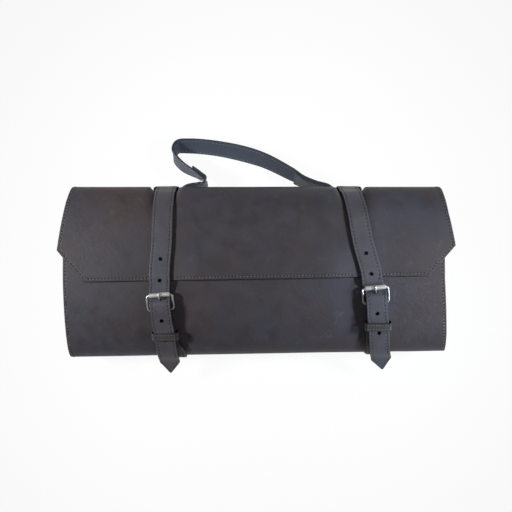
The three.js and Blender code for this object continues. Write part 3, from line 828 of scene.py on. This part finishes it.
# Where the wrap's open left and right edges are, with the flap's cut corners.
def wrapEdges(angle):
    angle = np.asarray(angle, float)
    rows = wrapSides[::-1]
    y = np.cos(np.radians(angle)) * roll["height"] / 2
    chamfer = np.clip(flap["chamferHeight"] - flap["edgeDrop"] - y, 0, None) / flap["chamferHeight"]
    narrower = np.where(angle > 0, flap["chamferWidth"] * chamfer, 0)
    left, right = [np.interp(angle, rows[:, 0], rows[:, k]) * roll["width"] / 2 - narrower for k in (1, 2)]
    return -left, right


def beltSideAt(row, angle):
    spots = [(-180, "bottom"), (-60, "top"), (10, "top"), (70, "crest"), (flapEdgeAngle, "flap"),
             (barAngle(row), "bar"), (keeperAngle(row), "keeper"), (175, "corner")]
    return np.interp(angle, [spot[0] for spot in spots], [row[spot[1]] for spot in spots])


# Soft waves that calm down beside the belts, and the stand of the flap's lower edge.
def wrapRelief(side, angle):
    turn = np.mod(angle + 180, 360) - 180
    calm = np.ones_like(side)
    for row in belts.values():
        away = np.abs(side - beltSideAt(row, turn))
        calm = calm * smooth(away, 13, 13 + wrapMesh["beltCalm"])
    wave = (
        np.sin(side / 61 + 0.7) * np.sin(turn / 37 + 0.4) + 0.6 * np.sin(side / 29 - 1.1 + turn / 55)
        + 0.45 * np.sin(turn / 17 + side / 83)
    )
    onFold = smooth(np.abs(np.sin(np.radians(turn))), 0.15, 0.6)
    relief = wrapMesh["wave"] * wave * calm * (0.25 + 0.75 * onFold)
    onFront = (angle > 0) & (angle <= flapEdgeAngle + 1)
    between = smooth(side, belts["left"]["flap"] + 11, belts["left"]["flap"] + 48)
    between = between * (1 - smooth(side, belts["right"]["flap"] - 52, belts["right"]["flap"] - 11))
    outside = smooth(side, belts["right"]["flap"] + 12, belts["right"]["flap"] + 60)
    outside = np.maximum(outside, 1 - smooth(side, belts["left"]["flap"] - 60, belts["left"]["flap"] - 12))
    stand = flap["stand"] * smooth(angle, 62, flapEdgeAngle) * (between + 0.35 * outside)
    return relief + np.where(onFront, stand, 0)


def wrapSurface(side, angle, inset=0.0):
    onFlap = np.clip(angle, 0, None) / flapEdgeAngle
    slant = -onFlap * flap["edgeSlant"] * side / roll["width"] * 180 / math.pi / (roll["height"] / 2)
    lift = np.where(angle < innerStop + 180, 0, flapLiftAt(angle))
    return onRoll(side, angle + slant, lift + wrapRelief(side, angle) - inset)


fineAngles = np.linspace(flapEdgeAngle, innerStop, 4000)
fineRuns = runLengths(onRoll(0.0, fineAngles, 0.0))
tipRun = np.interp(flapEdgeAngle - flapTipAngle, flapEdgeAngle - fineAngles, fineRuns)


def chamferStretch(angle):
    slope = math.hypot(flap["chamferWidth"], flap["chamferHeight"]) / flap["chamferHeight"]
    return mix(1.0, slope, smooth(angle, flapTipAngle - 2, flapTipAngle + 2))


def makeWrap():
    runs = spacedSteps(fineRuns[-1], wrapMesh["rowPitch"])
    nearest = np.argmin(np.abs(runs - tipRun))
    runs[nearest] = tipRun
    angles = np.interp(runs, fineRuns, fineAngles)
    left, right = wrapEdges(angles)
    offsets = np.array(edgeSteps)
    count = int(roll["width"] / wrapMesh["columnPitch"])
    inner = np.linspace(0, 1, count + 1)
    inset = offsets[None, :] * chamferStretch(angles)[:, None]
    leftColumns, rightColumns = left[:, None] + inset, right[:, None] - inset[:, ::-1]
    between = mix(leftColumns[:, -1:], rightColumns[:, :1], inner[None, 1:-1])
    side = np.hstack([leftColumns, between, rightColumns])
    angle = np.broadcast_to(angles[:, None], side.shape)
    columnDistance = np.concatenate([offsets, np.full(len(inner) - 2, 40.0), offsets[::-1]])
    rowDistance = np.minimum(runs, fineRuns[-1] - runs)
    middle = wrapSurface(side, angle, roll["wall"] / 2)
    normals = unit(np.cross(np.gradient(middle, axis=1), np.gradient(middle, axis=0)))
    leatherSheet(
        "wrap_leather", middle, normals, columnDistance[None, :], rowDistance[:, None], roll["wall"],
        wrapLeather, "wrap",
    )


def wrapLine(sides, angles):
    points = wrapSurface(sides, angles)
    ahead = wrapSurface(sides, angles - 0.05) - points
    aside = wrapSurface(sides + 0.1, angles) - points
    return points, unit(np.cross(aside, ahead))


def wrapStitchLines():
    lines = []
    insetAngle = np.interp(stitchInset, fineRuns, fineAngles)
    angles = np.linspace(insetAngle, innerStop + 3, 1500)
    inset = stitchInset * chamferStretch(angles)
    for edge, sign in zip(wrapEdges(angles), (1, -1)):
        lines.append(wrapLine(edge + sign * inset, angles))
    left, right = wrapEdges(insetAngle)
    sides = np.linspace(left + inset[0], right - inset[0], 500)
    lines.append(wrapLine(sides, np.full_like(sides, insetAngle)))
    return lines


makeWrap()
stitches("wrap_stitches", wrapStitchLines(), seams["wrap"], greyThread)
print("wrap made")


# Straps

strapMesh = {"beltPitch": 1.5, "handlePitch": 1.3, "beltStart": 5.5, "beltEnd": 22, "handleEnd": 4}


# A strap along its route, with its rows and columns close together at the cut edges.
def makeStrap(name, route, sizes, halfWidthAt, pitch, material, node):
    lengths = spacedSteps(route.total, pitch)
    station = route.at(lengths)
    half = sizes["width"] / 2
    offsets = np.array([step for step in edgeSteps if step < half - 1] + [half - 2.6, half - 1.2])
    offsets = np.unique(np.minimum(offsets, half - 0.6))
    columns = np.concatenate([-half + offsets, [0.0], half - offsets[::-1]]) / half
    reach = halfWidthAt(lengths)[:, None]
    middle = station["point"][:, None, :] + station["across"][:, None, :] * (reach * columns)[..., None]
    normals = np.broadcast_to(station["outward"][:, None, :], middle.shape)
    columnDistance = reach * (1 - np.abs(columns))
    rowDistance = np.minimum(lengths, route.total - lengths)[:, None]
    return leatherSheet(
        name, middle, normals, columnDistance, rowDistance, sizes["thickness"], material, node,
    )


def strapStitchLines(route, halfWidthAt, thickness, start, end, faceSides=(1,)):
    lines = []
    lengths = np.arange(start, end, 0.6)
    station = route.at(lengths)
    reach = np.clip(halfWidthAt(lengths) - stitchInset, 0.2, None)[:, None]
    for face in faceSides:
        outward = station["outward"] * face
        for sign in (-1, 1):
            points = station["point"] + station["across"] * sign * reach + outward * (thickness / 2 - 0.12)
            lines.append((points, outward))
    return lines


def beltHalfWidth(lengths):
    tapered = mix(belt["pointBluntness"], belt["width"] / 2, np.asarray(lengths) / belt["pointLength"])
    return np.minimum(belt["width"] / 2, tapered)


def keepAboveFloor(piece):
    for vertex in piece.data.vertices:
        vertex.co.z = max(vertex.co.z, 0.0)


def makeBelt(name, row):
    route, matrix = beltRoute(row)
    piece = makeStrap(
        f"{name}_strap", route, belt, beltHalfWidth, strapMesh["beltPitch"],
        beltLeather, name,
    )
    keepAboveFloor(piece)
    tongueSpot = placed(matrix, [(0, buckle["tongueShare"] * buckle["length"], 1)])[0]
    tongue = route.nearest(tongueSpot, 0.02, 0.4)
    shapes = []
    for index in range(belt["holes"]):
        station = route.at(tongue + (index - 2) * belt["holeSpacing"])
        radius, length = belt["holeDiameter"] / 2, 3 * belt["thickness"]
        shapes.append(cylinder(station["point"][0], station["outward"][0], radius, length))
    slotWidth = buckle["prong"] / 2 + 2 * clearance
    slotHalf = (slotWidth, buckle["slotLength"] / 2, chapeRadius + belt["thickness"] / 2)
    corners = [(x, y, z) for x in (-1, 1) for y in (-1, 1) for z in (-1, 1)]
    boxFaces = [(0, 1, 3, 2), (4, 6, 7, 5), (0, 4, 5, 1), (2, 3, 7, 6), (0, 2, 6, 4), (1, 5, 7, 3)]
    shapes.append((placed(matrix, np.array(corners) * slotHalf), boxFaces))
    cut(piece, shapes)
    start, end = strapMesh["beltStart"], route.total - strapMesh["beltEnd"]
    lines = strapStitchLines(route, beltHalfWidth, belt["thickness"], start, end)
    keepAboveFloor(stitches(f"{name}_stitches", lines, seams["belt"], darkThread))
    return route, matrix


def makeKeeper(name, row, route):
    guess = onRoll(row["keeper"], keeperAngle(row), keeperSeat + belt["thickness"])
    upper = route.at(route.nearest(guess, 0.0, 0.3))
    lower = route.at(route.nearest(upper["point"][0], 0.75, 0.97))
    top, bottom = upper["point"][0], lower["point"][0]
    thickness = keeper["thickness"]
    innerHeight = np.linalg.norm(top - bottom) + belt["thickness"] + 2 * keeper["play"]
    innerWidth = belt["width"] + abs(top[0] - bottom[0]) + 2 * keeper["sideGap"]
    w, h = (innerWidth + thickness) / 2, (innerHeight + thickness) / 2
    across = np.array([*cosSin(row["keeperTurn"]), 0])
    along = unit(np.cross(across, lower["outward"][0]))
    outward = np.cross(along, across)
    path = roundedLoop(w, h, keeper["corner"], 9, 90)
    bulge = keeper["bulge"] * np.clip(1 - (path[:, 0] / w) ** 2, 0, 1) * (path[:, 1] > 0)
    centres = (top + bottom) / 2 + across * path[:, :1] + outward * (path[:, 1] + bulge)[:, None]
    tangents = unit(np.roll(centres, -1, axis=0) - np.roll(centres, 1, axis=0))
    normals = unit(np.cross(tangents, along))
    halfLength = keeper["length"] / 2
    offsets = np.array([0, 0.05, 0.16, 0.34, 0.6, 0.95, 1.5, 2.2, 3.2])
    columns = np.concatenate([-halfLength + offsets, [0], halfLength - offsets[::-1]])
    middle = centres[:, None, :] + along * columns[None, :, None]
    distance = np.broadcast_to(halfLength - np.abs(columns)[None, :], middle.shape[:2])
    wall = normals[:, None, :] * (edgeShare(distance) * thickness / 2)[..., None]
    twoSided(
        f"{name}_band", middle + wall, middle - wall, distance, keeperLeather, name, True,
    )
    onTop = path[:, 1] > -h * 0.2
    lines = []
    for place in (-keeper["seamOffset"], keeper["seamOffset"]):
        line = centres + normals * (thickness / 2 - 0.08) + along * place
        lines.append((line[onTop], normals[onTop]))
    stitches(f"{name}_stitches", lines, seams["keeper"], greyThread)


buckleLook = {
    "wireRadius": 1.38, "sideBow": 0.35, "cornerEase": 0.6, "prongRadius": 1.15, "prongFlatness": 0.92,
    "rollerEdge": 0.35, "rollerSides": 40, "seamSide": 27, "seamDepth": 0.16,
}


def makeBuckle(name, matrix):
    length = buckle["length"]

    def addPiece(kind, form, points, faces, material):
        whole = f"buckle_{kind}_{name}"
        newObject(f"{whole}_{form}", placed(matrix, points), faces, material, whole)

    width = buckle["rollerLength"] + 2 * clearance + 2 * buckle["corner"]
    loop = roundedLoop(width / 2, length / 2, buckle["corner"] + buckleLook["cornerEase"], 12, 140)
    loop = loop + np.array([0, length / 2])
    bow = buckleLook["sideBow"] * np.sin(np.clip(loop[:, 1] / length, 0, 1) * math.pi)
    path = np.column_stack([loop, bow])
    points, faces = tube(path, buckleLook["wireRadius"], (0, 0, 1), 18, closed=True)
    addPiece("frame", "wire", points, faces, frameNickel)

    # One end of the roller's section, from its outside to its bore, and then the whole section.
    outer, inner = buckle["roller"] / 2, buckle["wire"] / 2 + clearance
    end, soft = buckle["rollerLength"] / 2, buckleLook["rollerEdge"]
    half = [(outer, end * 0.5)]
    for turn in (1.5708, 1.2, 0.8, 0.4):
        half.append((outer - soft + soft * math.sin(turn), end - soft + soft * math.cos(turn)))
    half += [(outer - soft, end), (inner + 0.2, end), (inner, end - 0.15)]
    profile = [(r, -along) for r, along in half[::-1]] + [(outer, 0)] + half + [(inner, 0)]
    points = []
    for r, along in profile:
        for k, (cosine, sine) in enumerate(ringTurns(buckleLook["rollerSides"])):
            onSeam = k == buckleLook["seamSide"] and r > inner + 0.3
            size = r - buckleLook["seamDepth"] if onSeam else r
            points.append((along, length + size * cosine, size * sine))
    faces = ringFaces(len(profile), buckleLook["rollerSides"], True)
    addPiece("roller", "tube", points, faces, rollerNickel)

    loopRadius = buckle["wire"] / 2 + clearance + buckle["prong"] / 2
    over = buckle["roller"] / 2 + clearance + buckle["prong"] / 2
    rows = []
    for angle in (-60, -100, -140, -180, -220):
        cosine, sine = cosSin(angle)
        rows.append((0, loopRadius * cosine, loopRadius * sine))
    tongueRows = [(0.256, 2.1), (0.447, 0.3), (0.605, 1.3), (0.744, 3), (0.874, over - 0.1)]
    rows += [(0, 0.6, loopRadius)] + [(0, share * length, z) for share, z in tongueRows]
    rows += [(0, length, over + 0.05), (0, length + buckle["overshoot"], over - 0.9)]
    path = splineThrough(rows, 14)
    share = np.linspace(0, 1, len(path))
    radii = buckleLook["prongRadius"] * (1 - 0.2 * smooth(share, 0.6, 1.0))
    blunt = np.sqrt(np.clip(1 - ((share - 0.975) / 0.026) ** 2, 0.03, 1))
    radii = radii * np.where(share > 0.975, blunt, 1)
    points, faces = tube(path, radii, (1, 0, 0), flatten=buckleLook["prongFlatness"])
    addPiece("prong", "wire", points, faces, frameNickel)


for label, row in belts.items():
    beltRouteMade, bucklePlace = makeBelt(f"belt_{label}", row)
    makeKeeper(f"keeper_{label}", row, beltRouteMade)
    makeBuckle(label, bucklePlace)
    print(f"{label} belt, keeper and buckle made")


def makeHandle():
    route, main, loopLength = handleRoutes()
    thickness = handle["thickness"]
    halfWidthAt = lambda lengths: np.full(np.shape(lengths), handle["width"] / 2)
    piece = makeStrap(
        "handle_strap", route, handle, halfWidthAt, strapMesh["handlePitch"],
        handleLeather, "handle",
    )
    station = main.at(loopLength + handle["holeAt"])
    cut(piece, [cylinder(station["point"][0], station["outward"][0], handle["hole"] / 2, 1.2 * thickness)])
    start = strapMesh["handleEnd"]
    lines = strapStitchLines(route, halfWidthAt, thickness, start, route.total - start, (1, -1))
    stitches("handle_stitches", lines, seams["handle"], blueThread)


makeHandle()
print("handle made")


# Floor, lights and camera

floorLook = {
    "Base Color": (0.06, 0.06, 0.062, 1), "Roughness": 0.9, "Specular IOR Level": 0.1,
    "Emission Color": (1, 1, 1, 1), "Emission Strength": 0.93,
}
floorSize, floorDrop = 6.0, 0.0004

# A lamp at each side lights its own half, a cool one the lower right. A long soft panel is over each half.
sideLamp = {"colour": (1, 1, 1), "degrees": 18.2, "blend": 0.74, "widen": 2.5}
lamps = {
    "left": {"place": (-1.0, 0.1, 0.72), "target": (-0.21, -0.01, 0.07), "power": 65, **sideLamp},
    "right": {"place": (1.0, 0.1, 0.72), "target": (0.215, 0, 0.07), "power": 59, **sideLamp},
    "cool": {
        "place": (0.95, -0.42, 0.5), "target": (0.18, -0.065, 0.06), "power": 64, "colour": (0.48, 0.73, 1),
        "degrees": 12, "blend": 1.0, "widen": 1,
    },
}
lampRadius = 0.1
softPanel = {"left": -0.294, "right": 0.368, "height": 1.4, "size": (0.16, 2.2), "power": 0.95}
worldLook = {"Color": (0.93, 0.96, 1.0, 1), "Strength": 0.025}


def makeFloor():
    mesh = bpy.data.meshes.new("studio_floor")
    corners = [(x * floorSize, y * floorSize, 0) for x, y in ((-1, -1), (1, -1), (1, 1), (-1, 1))]
    mesh.from_pydata(corners, [], [(0, 1, 2, 3)])
    mesh.materials.append(newMaterial("pale floor", floorLook)[0])
    floor = addObject("studio_floor", mesh)
    floor.location.z = -floorDrop


def aimedLight(name, kind, place, target, power):
    data = bpy.data.lights.new(name, kind)
    data.energy = power
    light = addObject(name, data)
    light.location = place
    light.rotation_mode = "QUATERNION"
    light.rotation_quaternion = (Vector(target) - Vector(place)).to_track_quat("-Z", "Y")
    return light


makeFloor()
for label, row in lamps.items():
    lamp = aimedLight(f"{label} lamp", "SPOT", row["place"], row["target"], row["power"])
    lamp.scale.x = row["widen"]
    lamp.data.color = row["colour"]
    lamp.data.spot_size = math.radians(row["degrees"])
    lamp.data.spot_blend = row["blend"]
    lamp.data.shadow_soft_size = lampRadius
for label in ("left", "right"):
    above = (softPanel[label], 0, softPanel["height"])
    panel = aimedLight(f"{label} panel", "AREA", above, (above[0], 0, 0), softPanel["power"]).data
    panel.shape = "RECTANGLE"
    panel.size, panel.size_y = softPanel["size"]

world = bpy.data.worlds.new("studio")
world.use_nodes = True
setInputs(world.node_tree.nodes["Background"], worldLook)
bpy.context.scene.world = world
bpy.context.scene.view_settings.view_transform = "Standard"

camera = {"height": 0.925, "x": -0.00023, "y": -0.001387, "focalPixels": 714, "pixels": 512, "sensor": 36}
cameraData = bpy.data.cameras.new("camera")
cameraData.sensor_width = camera["sensor"]
cameraData.lens = camera["sensor"] * camera["focalPixels"] / camera["pixels"]
cameraData.clip_start = 0.05
cameraObject = addObject("camera", cameraData)
cameraObject.location = (camera["x"], camera["y"], camera["height"])
bpy.context.scene.camera = cameraObject
print("floor, lights and camera made")
